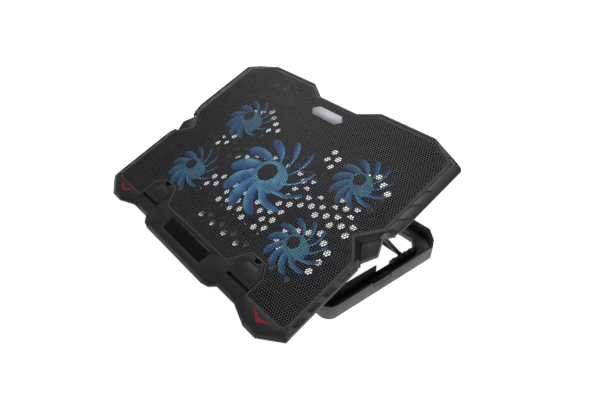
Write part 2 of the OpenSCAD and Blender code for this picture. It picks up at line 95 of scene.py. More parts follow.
RIM_HALF = [(33, 251.7, 0), (60.3, 267, 0), (140, 267, 3), (190, 246.5, 7), (190, 152, 0), (187.5, 143, 0),
            (164.5, 117, 2), (179, 100.5, 0), (185, 91, 3), (185, -7, 2), (157, -24, 2), (138, -24, 0),
            (112, -15, 0), (79, -15, 0), (71.5, -21.5, 0), (61, -24, 0)]
MESH_HALF = [(31.5, 248.5, 0), (59, 264, 0), (139.5, 264, 0), (174.8, 243.5, 8), (174.8, 141, 2),
             (153.5, 116, 2), (174.8, 93, 2), (174.8, 0, 7), (117, 0, 3), (117, 23, 0), (105.5, 37, 0),
             (81.5, 37, 0), (63.4, 13, 0)]
RIM = both(RIM_HALF)
MESH = both(MESH_HALF)
BADGE = [(-20, 237.9, 0), (20, 237.9, 0), (27.3, 230.4, 0), (19.8, 222.8, 0), (-19.8, 222.8, 0),
         (-27.3, 230.4, 0)]
ARC_STEPS = 5
SHARPEST = 0.3


def vec(point):
    return Vector((point[0], point[1]))


def right_of(direction):
    return Vector((direction.y, -direction.x))


def mitre(before, here, after, distance):
    """The corner here moved to the right of the path by distance."""
    a = right_of((here - before).normalized())
    b = right_of((after - here).normalized())
    return here + distance * (a + b) / (1 + a.dot(b))


def offset_loop(points, distance):
    """A closed outline moved inwards (clockwise outlines) by distance."""
    n = len(points)
    moved = []
    for i, p in enumerate(points):
        before, here, after = vec(points[i - 1]), vec(p), vec(points[(i + 1) % n])
        q = mitre(before, here, after, distance)
        radius = p[2] - (distance if (here - before).cross(after - here) < 0 else -distance)
        moved.append((q.x, q.y, max(radius, SHARPEST) if p[2] else 0))
    return moved


def offset_path(points, distance):
    """An open path moved to its left by distance, as outwards on a clockwise outline."""
    moved = []
    last = len(points) - 1
    for i, p in enumerate(points):
        here = vec(p)
        before = vec(points[i - 1]) if i else 2 * here - vec(points[1])
        after = vec(points[i + 1]) if i < last else 2 * here - vec(points[i - 1])
        q = mitre(before, here, after, -distance)
        bend = (here - before).cross(after - here)
        radius = p[2] + (distance if bend < 0 else -distance)
        moved.append((q.x, q.y, max(radius, SHARPEST) if p[2] else 0))
    return moved


def clockwise(points):
    """The outline, turned round if it runs the other way."""
    following = points[1:] + points[:1]
    area = sum(p[0] * q[1] - q[0] * p[1] for p, q in zip(points, following))
    return points[::-1] if area > 0 else points


def rounded(points, steps=ARC_STEPS, closed=True):
    """The outline with its corners turned into arcs, as plain 2-D vectors."""
    out = []
    n = len(points)
    for i, p in enumerate(points):
        here = vec(p)
        if not p[2] or not closed and i in (0, n - 1):
            out.append(here)
            continue
        u = (vec(points[i - 1]) - here).normalized()
        v = (vec(points[(i + 1) % n]) - here).normalized()
        half = u.angle(v) / 2
        reach = p[2] / math.tan(half)
        middle = here + (u + v).normalized() * p[2] / math.sin(half)
        start, end = here + u * reach - middle, here + v * reach - middle
        for k in range(steps + 1):
            t = k / steps
            swing = start.angle(end)
            spoke = (start * math.sin((1 - t) * swing) + end * math.sin(t * swing)) / math.sin(swing)
            out.append(middle + spoke)
    return out


# ---- mesh building ----
MERGE_M = 2e-6
EDGE_SHARP = math.radians(28)
SMOOTH_LIMIT = math.radians(32)


def inside(point, ring):
    """Even-odd test of a 2-D point against a closed ring of 2-D points."""
    hit = False
    for i in range(len(ring)):
        a, b = ring[i - 1], ring[i]
        if (a.y > point.y) == (b.y > point.y):
            continue
        if point.x < (b.x - a.x) * (point.y - a.y) / (b.y - a.y) + a.x:
            hit = not hit
    return hit


def ring_edges(rings):
    """Index pairs that close each ring, where the rings follow one another in one list."""
    edges = []
    start = 0
    for ring in rings:
        n = len(ring)
        edges += [(start + i, start + (i + 1) % n) for i in range(n)]
        start += n
    return edges


def fill(bm, rings, height=None, creases=(), flat=False):
    """Triangulates the area inside the first ring of vertices and outside the others.

    A selected face stays flat-shaded, so a bevel's curve doesn't spread over it.
    """
    verts = [v for ring in rings for v in ring]
    coords = [v.co.xy for v in verts]
    edges = ring_edges(rings)
    for line in creases:
        first = len(coords)
        for x, y in line:
            verts.append(bm.verts.new((x, y, height(x, y))))
            coords.append(Vector((x, y)))
        edges += [(i, i + 1) for i in range(first, len(coords) - 1)]
    made = geometry.delaunay_2d_cdt(coords, edges, [], 1, 1e-6)
    owners = []
    for place, origins in zip(made[0], made[3]):
        if origins:
            owners.append(verts[origins[0]])
        else:
            owners.append(bm.verts.new((place.x, place.y, height(place.x, place.y) if height else 0)))
    holes = [[v.co.xy for v in ring] for ring in rings[1:]]
    for face in made[2]:
        corners = [owners[i] for i in face]
        centre = sum((v.co.xy for v in corners), Vector((0, 0))) / 3
        if len(set(corners)) == 3 and not any(inside(centre, hole) for hole in holes):
            bm.faces.new(corners).select = flat


def join_rings(bm, a, b):
    """Quads between two closed rings of vertices."""
    n = len(a)
    for i in range(n):
        bm.faces.new((a[i], a[(i + 1) % n], b[(i + 1) % n], b[i]))


def slab(bm, outline, top, bottom, bevel=0.4, holes=(), creases=(), steps=2):
    """A closed plate with bevelled upper edges. top is a height or a function of x and y."""
    height = top if callable(top) else lambda x, y: top
    stacks = []
    for points, inwards in [(clockwise(outline), 1)] + [(clockwise(h), -1) for h in holes]:
        layers = [[(p.x, p.y, bottom) for p in rounded(points)]]
        for k in range(steps + 1):
            angle = math.pi / 2 * k / steps
            ring = rounded(offset_loop(points, inwards * bevel * (1 - math.cos(angle))))
            drop = bevel * (1 - math.sin(angle))
            layers.append([(p.x, p.y, height(p.x, p.y) - drop) for p in ring])
        stack = [[bm.verts.new(c) for c in layer] for layer in layers]
        for low, high in zip(stack, stack[1:]):
            join_rings(bm, low, high)
        stacks.append(stack)
    fill(bm, [stack[-1] for stack in stacks], height, creases, flat=not callable(top))
    fill(bm, [stack[0] for stack in stacks], flat=True)


def both_sides(bm, outline, top, *rest, **options):
    """A slab on the right, and its mirror image on the left."""
    slab(bm, outline, top, *rest, **options)
    height = (lambda x, y: top(-x, y)) if callable(top) else top
    creases = [[(-x, y) for x, y in line] for line in options.pop("creases", ())]
    holes = [mirrored(h) for h in options.pop("holes", ())]
    slab(bm, mirrored(outline), height, *rest, creases=creases, holes=holes, **options)


def painted(bm, index, build, *rest, **options):
    """Runs a building step and gives the faces it makes the piece's material of that number."""
    before = len(bm.faces)
    build(bm, *rest, **options)
    bm.faces.ensure_lookup_table()
    for face in bm.faces[before:]:
        face.material_index = index


def finish_piece(bm, name, materials, body, nodes, place=None):
    """Turns a bmesh in millimetres into a piece that rides on a body and stands for CAD nodes.

    Without a place the bmesh is in deck coordinates; a place keeps the piece's own axes.
    """
    bmesh.ops.recalc_face_normals(bm, faces=bm.faces)
    bmesh.ops.scale(bm, vec=(MM, MM, MM), verts=bm.verts)
    if place is None:
        bmesh.ops.transform(bm, matrix=DECK, verts=bm.verts)
        place = IN_FRAME
    for face in bm.faces:
        face.smooth = not face.select
        face.select = False
    mesh = bpy.data.meshes.new(name)
    bm.to_mesh(mesh)
    bm.free()
    mesh.set_sharp_from_angle(angle=SMOOTH_LIMIT)
    for material in materials:
        mesh.materials.append(material)
    piece = bpy.data.objects.new(name, mesh)
    bpy.context.scene.collection.objects.link(piece)
    piece.matrix_world = place
    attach(piece, body)
    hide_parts(*nodes)
    return piece


def is_flat(face, width):
    """True for a broad face whose neighbours either bend away sharply or lie in its plane."""
    broad = face.calc_area() > 1.3 * width * MM * max(e.calc_length() for e in face.edges)
    turns = [e.calc_face_angle(1) for e in face.edges]
    return broad and all(a > math.radians(15) or a < math.radians(0.5) for a in turns)


def bevelled(node, width, *materials):
    """A copy of a CAD node with its sharp edges broken, in the node's place."""
    source = frame["nodes"][node]
    bm = bmesh.new()
    bm.from_mesh(source.data)
    bmesh.ops.remove_doubles(bm, verts=bm.verts, dist=MERGE_M)
    bmesh.ops.dissolve_limit(bm, angle_limit=math.radians(1), verts=bm.verts, edges=bm.edges)
    edges = [e for e in bm.edges if e.is_manifold and e.calc_face_angle(0) > EDGE_SHARP]
    bmesh.ops.bevel(bm, geom=edges, offset=width * MM, segments=2, profile=0.5, affect="EDGES",
                    clamp_overlap=True)
    for face in bm.faces:
        face.select = is_flat(face, width)
    bmesh.ops.scale(bm, vec=(1 / MM,) * 3, verts=bm.verts)
    return finish_piece(bm, node + "_finished", materials, source["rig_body"], [node], IN_FRAME)


# ---- materials ----
PITCH = 3.07
HOLE = 1.36
ROW_START = 0.6
ROW_PITCH = PITCH * math.sqrt(3) / 2


class Nodes:
    """A material's node tree with short calls for the nodes used here."""

    def __init__(self, name, colour, roughness, metallic=0.0):
        self.material = bpy.data.materials.new(name)
        self.material.use_nodes = True
        self.tree = self.material.node_tree
        self.shader = self.tree.nodes["Principled BSDF"]
        self.shader.inputs["Base Color"].default_value = (*colour, 1)
        self.shader.inputs["Roughness"].default_value = roughness
        self.shader.inputs["Metallic"].default_value = metallic
        self.coords = self.tree.nodes.new("ShaderNodeTexCoord").outputs["Object"]

    def link(self, a, b):
        self.tree.links.new(a, b)

    def noise(self, scale, detail=3, stretch=None):
        node = self.tree.nodes.new("ShaderNodeTexNoise")
        node.inputs["Scale"].default_value = scale
        node.inputs["Detail"].default_value = detail
        if stretch:
            mapping = self.tree.nodes.new("ShaderNodeMapping")
            mapping.inputs["Scale"].default_value = stretch
            self.link(self.coords, mapping.inputs["Vector"])
            self.link(mapping.outputs["Vector"], node.inputs["Vector"])
        else:
            self.link(self.coords, node.inputs["Vector"])
        return node.outputs["Fac"]

    def ramp(self, value, stops):
        """A colour ramp; a stop's colour may be one grey level."""
        node = self.tree.nodes.new("ShaderNodeValToRGB")
        ramp = node.color_ramp
        while len(ramp.elements) < len(stops):
            ramp.elements.new(0.5)
        for element, (place, colour) in zip(ramp.elements, stops):
            element.position = place
            element.color = (*colour, 1) if isinstance(colour, tuple) else (colour, colour, colour, 1)
        self.link(value, node.inputs["Fac"])
        return node.outputs["Color"]

    def grey_ramp(self, value, low, high, start=0.35, end=0.65):
        return self.ramp(value, [(start, low), (end, high)])

    def math(self, operation, a, b=None):
        node = self.tree.nodes.new("ShaderNodeMath")
        node.operation = operation
        for socket, value in zip(node.inputs, (a, b)):
            if isinstance(value, (int, float)):
                socket.default_value = value
            elif value is not None:
                self.link(value, socket)
        return node.outputs["Value"]

    def attribute(self, name):
        node = self.tree.nodes.new("ShaderNodeAttribute")
        node.attribute_name = name
        return node.outputs["Fac"]

    def mix(self, share, a, b):
        node = self.tree.nodes.new("ShaderNodeMix")
        node.data_type = "RGBA"
        self.link(share, node.inputs["Factor"])
        self.link(a, node.inputs[6])
        self.link(b, node.inputs[7])
        return node.outputs[2]

    def colour(self, output):
        self.link(output, self.shader.inputs["Base Color"])

    def rough(self, output):
        self.link(output, self.shader.inputs["Roughness"])

    def bump(self, output, distance, strength=0.4):
        node = self.tree.nodes.new("ShaderNodeBump")
        node.inputs["Distance"].default_value = distance
        node.inputs["Strength"].default_value = strength
        self.link(output, node.inputs["Height"])
        self.link(node.outputs["Normal"], self.shader.inputs["Normal"])


def plastic(name, colour, roughness, grain=1500, depth=0.00006, spread=0.12):
    """Moulded plastic with a spark-eroded grain and faint mottling."""
    m = Nodes(name, colour, roughness)
    dark = tuple(c * (1 - spread) for c in colour)
    light = tuple(c * (1 + spread) for c in colour)
    m.colour(m.ramp(m.noise(45, 5), [(0.35, dark), (0.65, light)]))
    m.rough(m.grey_ramp(m.noise(130, 4), roughness - 0.06, roughness + 0.06))
    m.bump(m.noise(grain, 2), depth)
    return m.material


def brushed(name, colour, roughness, stretch, metallic=1.0):
    """Metal with fine lines along one direction."""
    m = Nodes(name, colour, roughness, metallic)
    dark = tuple(c * 0.8 for c in colour)
    m.colour(m.ramp(m.noise(900, 3, stretch), [(0.3, dark), (0.7, colour)]))
    m.rough(m.grey_ramp(m.noise(700, 2, stretch), roughness - 0.08, roughness + 0.1))
    m.bump(m.noise(1100, 2, stretch), 0.00002, 0.3)
    return m.material


def blade_material(name, gain, glow_streak_scale, glow_streak_low):
    """Translucent blade plastic whose light from the hub's LEDs is painted as the blade's own glow: teal
    faces, bluer edges and dim tips.
    """
    m = Nodes(name, (0.05, 0.2, 0.28), 0.3)
    edge = m.attribute("edge")
    glow_tint = m.ramp(edge, [(0.0, (0.12, 0.42, 0.58)), (0.5, (0.05, 0.2, 0.45)), (1.0, (0.03, 0.08, 0.5))])
    shade = m.ramp(edge, [(0.0, (0.02, 0.1, 0.2)), (1.0, (0.01, 0.02, 0.12))])
    glow_streaks = m.grey_ramp(m.noise(glow_streak_scale, 3), glow_streak_low, 1.0)
    # Painted light: emission in streaks of teal and blue stands in for the LEDs' light in the blade.
    m.link(m.mix(glow_streaks, shade, glow_tint), m.shader.inputs["Emission Color"])
    glow = m.ramp(m.attribute("reach"), [(0.0, 0.6 * gain), (0.35, 0.8 * gain), (1.0, 0.35 * gain)])
    m.link(glow, m.shader.inputs["Emission Strength"])
    m.colour(m.ramp(m.noise(60, 3), [(0.3, (0.02, 0.1, 0.15)), (0.7, (0.03, 0.15, 0.21))]))
    m.rough(m.grey_ramp(m.noise(200, 2), 0.25, 0.4))
    return m.material


def glowing(name, colour, strength):
    m = Nodes(name, colour, 0.4)
    dark = tuple(c * 0.8 for c in colour)
    m.link(m.ramp(m.noise(300, 2), [(0.3, dark), (0.7, colour)]), m.shader.inputs["Emission Color"])
    m.shader.inputs["Emission Strength"].default_value = strength
    return m.material


def lattice_wave(m):
    """Three crossed waves in step with the holes.

    Their sum is 3 in a hole's middle, -1 half way along a rib and -1.5 where ribs meet.
    """
    total = None
    k = 2 * math.pi / (PITCH * MM)
    for x, y in ((k, -k / math.sqrt(3)), (0, 2 * k / math.sqrt(3)), (k, k / math.sqrt(3))):
        dot = m.tree.nodes.new("ShaderNodeVectorMath")
        dot.operation = "DOT_PRODUCT"
        dot.inputs[1].default_value = (x, y, 0)
        m.link(m.coords, dot.inputs[0])
        wave = m.math("COSINE", m.math("SUBTRACT", dot.outputs["Value"], y * ROW_START * MM))
        total = m.math("ADD", total, wave) if total else wave
    return total


def mesh_sheet_material():
    """Black powder coat over punched steel, with a painted highlight (glint) where the ribs meet; the base
    and the highlight are mottled.
    """
    m = Nodes("black_mesh", (0.01, 0.01, 0.011), 0.4)
    m.shader.inputs["Specular IOR Level"].default_value = 0.3
    node_share = m.math("MULTIPLY", m.math("ADD", lattice_wave(m), 1.5), 2.0)
    # Painted highlight: a light grey glint where the ribs meet, mottled by noise.
    glint = m.ramp(node_share, [(0.0, 1), (0.55, 0.6), (0.95, 0)])
    base = m.ramp(m.noise(30, 4), [(0.3, (0.007, 0.007, 0.008)), (0.7, (0.013, 0.0125, 0.014))])
    glint_colour = m.ramp(m.noise(420, 3), [(0.3, (0.2, 0.19, 0.21)), (0.7, (0.42, 0.4, 0.42))])
    m.colour(m.mix(glint, base, glint_colour))
    m.rough(m.grey_ramp(m.noise(500, 3), 0.34, 0.52))
    m.bump(m.noise(2500, 2), 0.00004)
    return m.material


SHELL = plastic("shell_plastic", (0.026, 0.0255, 0.03), 0.42)
# A lighter copy of the shell plastic: painted light on the bead, bands and wings.
SHELL_PAINTED_LIGHT = plastic("shell_plastic_painted_light", (0.08, 0.079, 0.085), 0.4)
# A lighter copy of the shell plastic: painted light on the rearmost window's floor.
WINDOW_PAINTED_LIGHT = plastic("window_plastic_painted_light", (0.06, 0.06, 0.065), 0.35)
# Near black: the own colour of the small black parts, and painted shade on the tray's inside and on the
# lip's ribs.
BLACK_AND_SHADE = plastic("under_plastic", (0.006, 0.006, 0.0065), 0.6)
STAND = plastic("stand_plastic", (0.058, 0.061, 0.067), 0.45)
CLIP = plastic("clip_plastic", (0.016, 0.016, 0.018), 0.5)
BLACK_GLOSS = plastic("gloss_black", (0.006, 0.006, 0.007), 0.12, grain=300, depth=0.000005)
RED = plastic("red_trim", (0.5, 0.012, 0.018), 0.35)
RUBBER = plastic("foot_rubber", (0.018, 0.018, 0.018), 0.8, grain=900)
PROP = plastic("prop_black", (0.012, 0.012, 0.013), 0.5)
MOTOR = plastic("motor_black", (0.02, 0.02, 0.022), 0.5)
CIRCUIT = plastic("circuit_board", (0.01, 0.03, 0.018), 0.4)
WIRE = plastic("wire_cover", (0.015, 0.015, 0.016), 0.5)
SILVER = brushed("silver_badge", (0.5, 0.5, 0.56), 0.42, (1, 12, 12), 0.55)
STEEL = brushed("pin_steel", (0.6, 0.6, 0.62), 0.3, (12, 1, 12))
SOCKET = brushed("socket_steel", (0.2, 0.2, 0.21), 0.35, (1, 1, 12))
SCREW = brushed("screw_steel", (0.09, 0.09, 0.1), 0.35, (1, 12, 12))
MESH_SHEET = mesh_sheet_material()
BLADE = blade_material("fan_blade", 1.0, 110, 0.45)
BIG_BLADE = blade_material("big_fan_blade", 2.1, 75, 0.12)
LED = glowing("led_blue", (0.25, 0.6, 1.0), 1.2)

# ---- perforated top ----
SHEET_EDGE = 0.85
SHEET_BORDER = 0.7
SHEET_THICK = 0.6
BADGE_MARGIN = 0.5
LAST_ROW = 99
LAST_COLUMN = 60
HOLE_ANGLES = [math.radians(30 + 60 * k) for k in range(6)]
MESH_FRONT_Y = MESH_HALF[-1][1]
MESH_REAR_Y = MESH_HALF[0][1]


def seam_x(row):
    """The two halves of the sheet part along the ribs next to x = 0."""
    return PITCH / 2 if row % 2 == 0 else 0


def holes(area, keep_out, right):
    """Hexagons on a close-packed lattice with rows along x, where a whole hole fits."""
    for j in range(1, LAST_ROW + 1):
        for i in range(-LAST_COLUMN, LAST_COLUMN + 1):
            c = Vector(((i + (j % 2) / 2) * PITCH, ROW_START + j * ROW_PITCH))
            if (c.x > seam_x(j)) != right or inside(c, keep_out):
                continue
            rim = [c + Vector((HOLE * math.cos(a), HOLE * math.sin(a))) for a in HOLE_ANGLES]
            if all(inside(p, area) for p in rim):
                yield rim


def half_sheet_outline(right):
    """Half the sheet's edge, closed by a zigzag through the ribs."""
    edge = rounded(offset_loop(MESH, SHEET_EDGE))
    front, rear = MESH_FRONT_Y + SHEET_EDGE, MESH_REAR_Y - SHEET_EDGE
    half_rib = PITCH / math.sqrt(12)
    seam = []
    for j in range(1, LAST_ROW + 1):
        middle = ROW_START + j * ROW_PITCH
        for y in (middle - half_rib, middle + half_rib):
            if front + 0.5 < y < rear - 0.5:
                seam.append(Vector((seam_x(j), y)))
    seam = [Vector((seam[0].x, front))] + seam + [Vector((seam[-1].x, rear))]
    if right:
        return [p for p in edge if p.x > 5] + seam
    return [p for p in edge if p.x < -5] + seam[::-1]


def build_half_sheet(right):
    area = rounded(offset_loop(MESH, SHEET_EDGE + SHEET_BORDER))
    badge = rounded(offset_loop(BADGE, -BADGE_MARGIN))
    rings = [half_sheet_outline(right)] + list(holes(area, badge, right))
    coords = [p for ring in rings for p in ring]
    owner = [k for k, ring in enumerate(rings) for _ in ring]
    edges = ring_edges(rings)
    made = geometry.delaunay_2d_cdt(coords, edges, [], 1, 1e-6)
    bm = bmesh.new()
    upper = [bm.verts.new((p.x, p.y, 0)) for p in coords]
    lower = [bm.verts.new((p.x, p.y, -SHEET_THICK)) for p in coords]
    where = [origins[0] for origins in made[3]]
    for face in made[2]:
        corners = [where[i] for i in face]
        rings_hit = {owner[c] for c in corners}
        if rings_hit == {0} or len(rings_hit) > 1:
            bm.faces.new([upper[c] for c in corners])
            bm.faces.new([lower[c] for c in reversed(corners)])
    for a, b in edges:
        bm.faces.new((upper[a], upper[b], lower[b], lower[a]))
    return bm


for name, right in (("mesh_sheet_left", False), ("mesh_sheet_right", True)):
    finish_piece(build_half_sheet(right), name, [MESH_SHEET], "deck", ["mesh_plate"], DECK)

# ---- bezel ----
# A profile is a list of (distance outwards from the path, height) that goes round the section once.
BEAD = [(-0.15, -1.2), (-0.15, 0.4), (0.0, 0.8), (0.35, 0.97), (1.2, 0.97), (1.6, 0.75), (1.8, 0.3),
        (1.8, -1.2)]
BAND = [(1.2, -1.2), (1.2, 0.85), (1.9, 0.85), (3.5, 0.38), (3.8, 0.1), (3.8, -1.2)]
LOWER_SKIRT = [(-9, -6.95), (-6.4, -6.95), (-6.05, -6.6), (-6.05, -3.8), (-9, -3.8)]
UPPER_SKIRT = [(-7, -3.95), (-0.6, -3.95), (-0.15, -3.5), (-0.1, -1.9), (-0.45, -1.4), (-1.1, -1.15),
               (-7, -1.15)]
NOTCH_WALL = [(1.6, -6.9), (1.6, 0.55), (3.6, 0.55), (3.9, 0.35), (7.5, -3.1), (7.9, -3.7), (7.9, -6.9)]
REAR_RAIL = [(-3.0, -1.5), (-0.25, -1.5), (-0.25, 0.05), (-0.45, 0.5), (-0.9, 0.72), (-3.0, 0.72)]
LIP_SLOPE = [(-5.4, -4), (-0.2, -4), (-0.2, -2.0), (-0.5, -1.5), (-4.7, 0.72), (-5.4, 0.82)]

# The bezel's materials by number: the shell plastic; a lighter copy as painted light on the rearmost
# window's floor; near black as painted shade on the lip's ribs; a lighter copy as painted light on the bead,
# bands and wings.
BEZEL_MATERIALS = [SHELL, WINDOW_PAINTED_LIGHT, BLACK_AND_SHADE, SHELL_PAINTED_LIGHT]
SHELL_FACE = 0
WINDOW_PAINTED_LIGHT_FACE = 1
SLOT_SHADE_FACE = 2
PAINTED_LIGHT_FACE = 3


def sweep(bm, path, profile, closed=False):
    """Carries a section along a path with mitred corners; an open path gets end caps."""
    rows = []
    for distance, z in profile:
        moved = offset_loop(path, -distance) if closed else offset_path(path, distance)
        rows.append([bm.verts.new((p.x, p.y, z)) for p in rounded(moved, closed=closed)])
    n = len(rows[0])
    for a, b in zip(rows, rows[1:] + rows[:1]):
        for i in range(n if closed else n - 1):
            bm.faces.new((a[i], a[(i + 1) % n], b[(i + 1) % n], b[i]))
    if not closed:
        bm.faces.new([row[0] for row in rows])
        bm.faces.new([row[-1] for row in rows])


def sweep_both(bm, path, profile):
    sweep(bm, path, profile)
    sweep(bm, mirrored(path), profile)


# ---- wings ----
WING_BOTTOM = -3
WING_INNER = 178.3
SCALE_STEPS = [202.3, 180.3, 158.3, 139.2, 131.0]
SCALE_GAP = 0.35
SCALE_OUTER = 189.85
LAST_SCALE_OUTER = 187.2
SCALE_TUCK = 1.6
SCALE_CREASE = 185.6
SCALE_HIGH = 0.75
SCALE_LOW = -0.3
FRONT_WING_OUTER = 184.75
FRONT_WING_TOP = 0.6
WINDOW_MIDDLES = [76.0 - 20.4 * k for k in range(4)]
WINDOW_LENGTH = 13.0
WINDOW_LEAN = 2.2
WINDOW_TOP = 0.2


def wing_fall(x):
    """The wings slope outwards, more steeply beyond the crease."""
    return 0.4 * max(0.0, x - SCALE_CREASE) + 0.2 * max(0.0, x - WING_INNER)


def scale_height(front, rear):
    """Height of a scale that starts low behind its neighbour and rises to its own front step."""
    def height(x, y):
        share = min(1.0, max(0.0, (y - (x - WING_INNER) - front) / (rear - front)))
        return SCALE_HIGH + (SCALE_LOW - SCALE_HIGH) * share ** 2 - wing_fall(x)
    return height


def corner_height(x, y):
    """Height of the rear corner plate, which also falls gently to the rear."""
    return SCALE_HIGH - 0.03 * max(0.0, y - 225 + 0.9 * (178 - x)) - wing_fall(x)


def scales(bm):
    """Four slanted overlapping plates along each rear wing, a corner plate and a strip behind it."""
    for rear, front in zip(SCALE_STEPS, SCALE_STEPS[1:]):
        outer = LAST_SCALE_OUTER if front == SCALE_STEPS[-1] else SCALE_OUTER
        tuck = SCALE_OUTER - SCALE_TUCK - WING_INNER
        edge = rear - SCALE_GAP
        outline = [(WING_INNER, edge, 0), (WING_INNER + tuck, edge + tuck, 0),
                   (outer, front + outer - WING_INNER, 0), (WING_INNER, front, 0)]
        slant = SCALE_CREASE - WING_INNER
        crease = [(SCALE_CREASE, edge + slant - 0.7), (SCALE_CREASE, front + slant + 0.7)]
        both_sides(bm, outline, scale_height(front, rear), WING_BOTTOM, 0.35, creases=[crease])
    first = SCALE_STEPS[0]
    corner = [(WING_INNER, first, 0), (WING_INNER, 245.0, 0), (168.8, 250.7, 0), (172.8, 253.9, 0),
              (SCALE_OUTER, 246.7, 6.5), (SCALE_OUTER, first + SCALE_OUTER - WING_INNER, 0)]
    crease = [(SCALE_CREASE, 211.5), (SCALE_CREASE, 243.5)]
    both_sides(bm, corner, corner_height, WING_BOTTOM, 0.4, creases=[crease])
    rear_strip = [(146.5, 261.2, 0), (149.5, 262.6, 0), (172.2, 253.4, 0), (167.2, 249.4, 0)]
    both_sides(bm, rear_strip, 0.66, WING_BOTTOM, 0.3)


def window_outline(middle):
    """A slanted window in the front wing."""
    low, high = middle - WINDOW_LENGTH / 2, middle + WINDOW_LENGTH / 2
    inner, outer = WING_INNER + 0.7, FRONT_WING_OUTER - 0.9
    lean = WINDOW_LEAN / 2
    return [(inner, high - lean, 0), (outer, high + lean, 0), (outer, low + lean, 0), (inner, low - lean, 0)]


def front_wing(bm):
    """The band beside the front half of the mesh, with four sunken windows; the band's top and the rearmost
    window's floor are painted lighter as painted light.
    """
    edge = [(WING_INNER, 99.0, 0), (179.4, 99.2, 0), (FRONT_WING_OUTER, 91.0, 2.5),
            (FRONT_WING_OUTER, -4, 0), (WING_INNER, -4, 0)]
    windows = [window_outline(middle) for middle in WINDOW_MIDDLES]
    # Painted light: the wing's top takes the lighter copy of the plastic.
    painted(bm, PAINTED_LIGHT_FACE, both_sides, edge, lambda x, y: FRONT_WING_TOP - 0.2 * (x - WING_INNER),
            WING_BOTTOM, 0.2, holes=windows)
    for window in windows:
        # Painted light: the rearmost window's floor takes a lighter copy; the other floors keep the shell
        # plastic.
        index = WINDOW_PAINTED_LIGHT_FACE if window is windows[0] else SHELL_FACE
        floor = offset_loop(clockwise(window), -0.3)
        painted(bm, index, both_sides, floor, lambda x, y: WINDOW_TOP - 0.34 * (x - WING_INNER),
                WING_BOTTOM, 0.1)


# ---- front lip ----
LIP = both([(185, -1, 0)] + RIM_HALF[9:])
MESH_FRONT = both([(174.8, 7, 0), (174.8, 0, 6.9)] + MESH_HALF[8:])
LIP_TOP = 0.88
LIP_BOTTOM = -2.4
STOPPER_WELL = [(115, 1.6, 0), (115, 21.7, 0), (105.7, 35, 0), (83.3, 35, 0), (77, 28.7, 0), (77, 1.6, 0)]
WELL_FLOOR = -2.95
PLATE_SEAT = [(-41.4, 7.4, 2.8), (41.4, 7.4, 2.8), (41.4, -10.9, 2.8), (-41.4, -10.9, 2.8)]
SEAT_FLOOR = 0.18
RIB_HALF = 0.55
RIB_NEAR = 1.0
RIB_FAR = 4.6
RIB_FOOT = -0.85
RIB_RISE = 0.53
# Where ribs stand on the lip's slope: start, end and number.
RIB_ROWS = [((138, -24), (112, -15), 11), ((112, -15), (104, -15), 3), ((71.5, -21.5), (61, -24), 4),
            ((79, -15), (71.5, -21.5), 4)]


def ribs(bm, start, end, count):
    """Fine ribs across the lip's slope, square to the edge from start to end, painted near black as the
    painted shade of slots.
    """
    a, b = Vector(start), Vector(end)
    along = (b - a).normalized()
    inwards = right_of(along)
    for k in range(count):
        foot = a + (b - a) * (k + 0.5) / count
        corners = [foot + along * u + inwards * v for u, v in
                   ((-RIB_HALF, RIB_NEAR), (-RIB_HALF, RIB_FAR), (RIB_HALF, RIB_FAR), (RIB_HALF, RIB_NEAR))]

        def height(x, y, foot=foot):
            return RIB_FOOT + RIB_RISE * ((Vector((abs(x), y)) - foot).dot(inwards) - 0.5)
        # Painted shade: each rib takes the near black material.
        painted(bm, SLOT_SHADE_FACE, both_sides, [(c.x, c.y, 0) for c in corners], height, -3, 0.2, steps=1)


def front_lip(bm):
    sweep(bm, LIP, LIP_SLOPE)
    core = offset_path(LIP, -4.9) + offset_path(MESH_FRONT, 1.2)[::-1]
    wells = [STOPPER_WELL, mirrored(STOPPER_WELL)]
    slab(bm, core, LIP_TOP, LIP_BOTTOM, 0.25, holes=wells + [PLATE_SEAT])
    slab(bm, PLATE_SEAT, SEAT_FLOOR, -2.2, 0.1)
    for row in RIB_ROWS:
        ribs(bm, *row)
    both_sides(bm, offset_loop(clockwise(STOPPER_WELL), -0.8), lambda x, y: WELL_FLOOR, -4.3, 0.1)


NOTCH = [(181.4, 148.8, 0), (153.5, 116, 2), (177.2, 90.4, 0)]


def build_bezel():
    bm = bmesh.new()
    rear = mirrored(RIM_HALF[:6]) + RIM_HALF[:6]
    front = both(RIM_HALF[7:])
    for path in (rear, front):
        sweep(bm, path, LOWER_SKIRT)
        sweep(bm, path, UPPER_SKIRT)
    # Painted light: the bead, the bands and the scales take the lighter copy of the plastic, the bead as a
    # thin painted highlight round the mesh.
    painted(bm, PAINTED_LIGHT_FACE, sweep, MESH, BEAD, closed=True)
    band = [(150, 257.9, 0)] + MESH_HALF[3:7] + [(174.8, -2, 0)]
    painted(bm, PAINTED_LIGHT_FACE, sweep_both, band, BAND)
    sweep_both(bm, NOTCH, NOTCH_WALL)
    rail = RIM_HALF[:3] + [(150, 262.9, 0)]
    sweep(bm, mirrored(rail) + rail, REAR_RAIL)
    painted(bm, PAINTED_LIGHT_FACE, scales)
    front_wing(bm)
    front_lip(bm)
    return bm


def front_plate():
    bm = bmesh.new()
    slab(bm, [(-40.8, 6.8, 3.2), (40.8, 6.8, 3.2), (40.8, -10.3, 3.2), (-40.8, -10.3, 3.2)], 0.7, 0.2, 0.2)
    finish_piece(bm, "front_plate_gloss", [BLACK_GLOSS], "deck", ["front_plate"])


finish_piece(build_bezel(), "bezel", BEZEL_MATERIALS, "deck", ["top_bezel"])
front_plate()

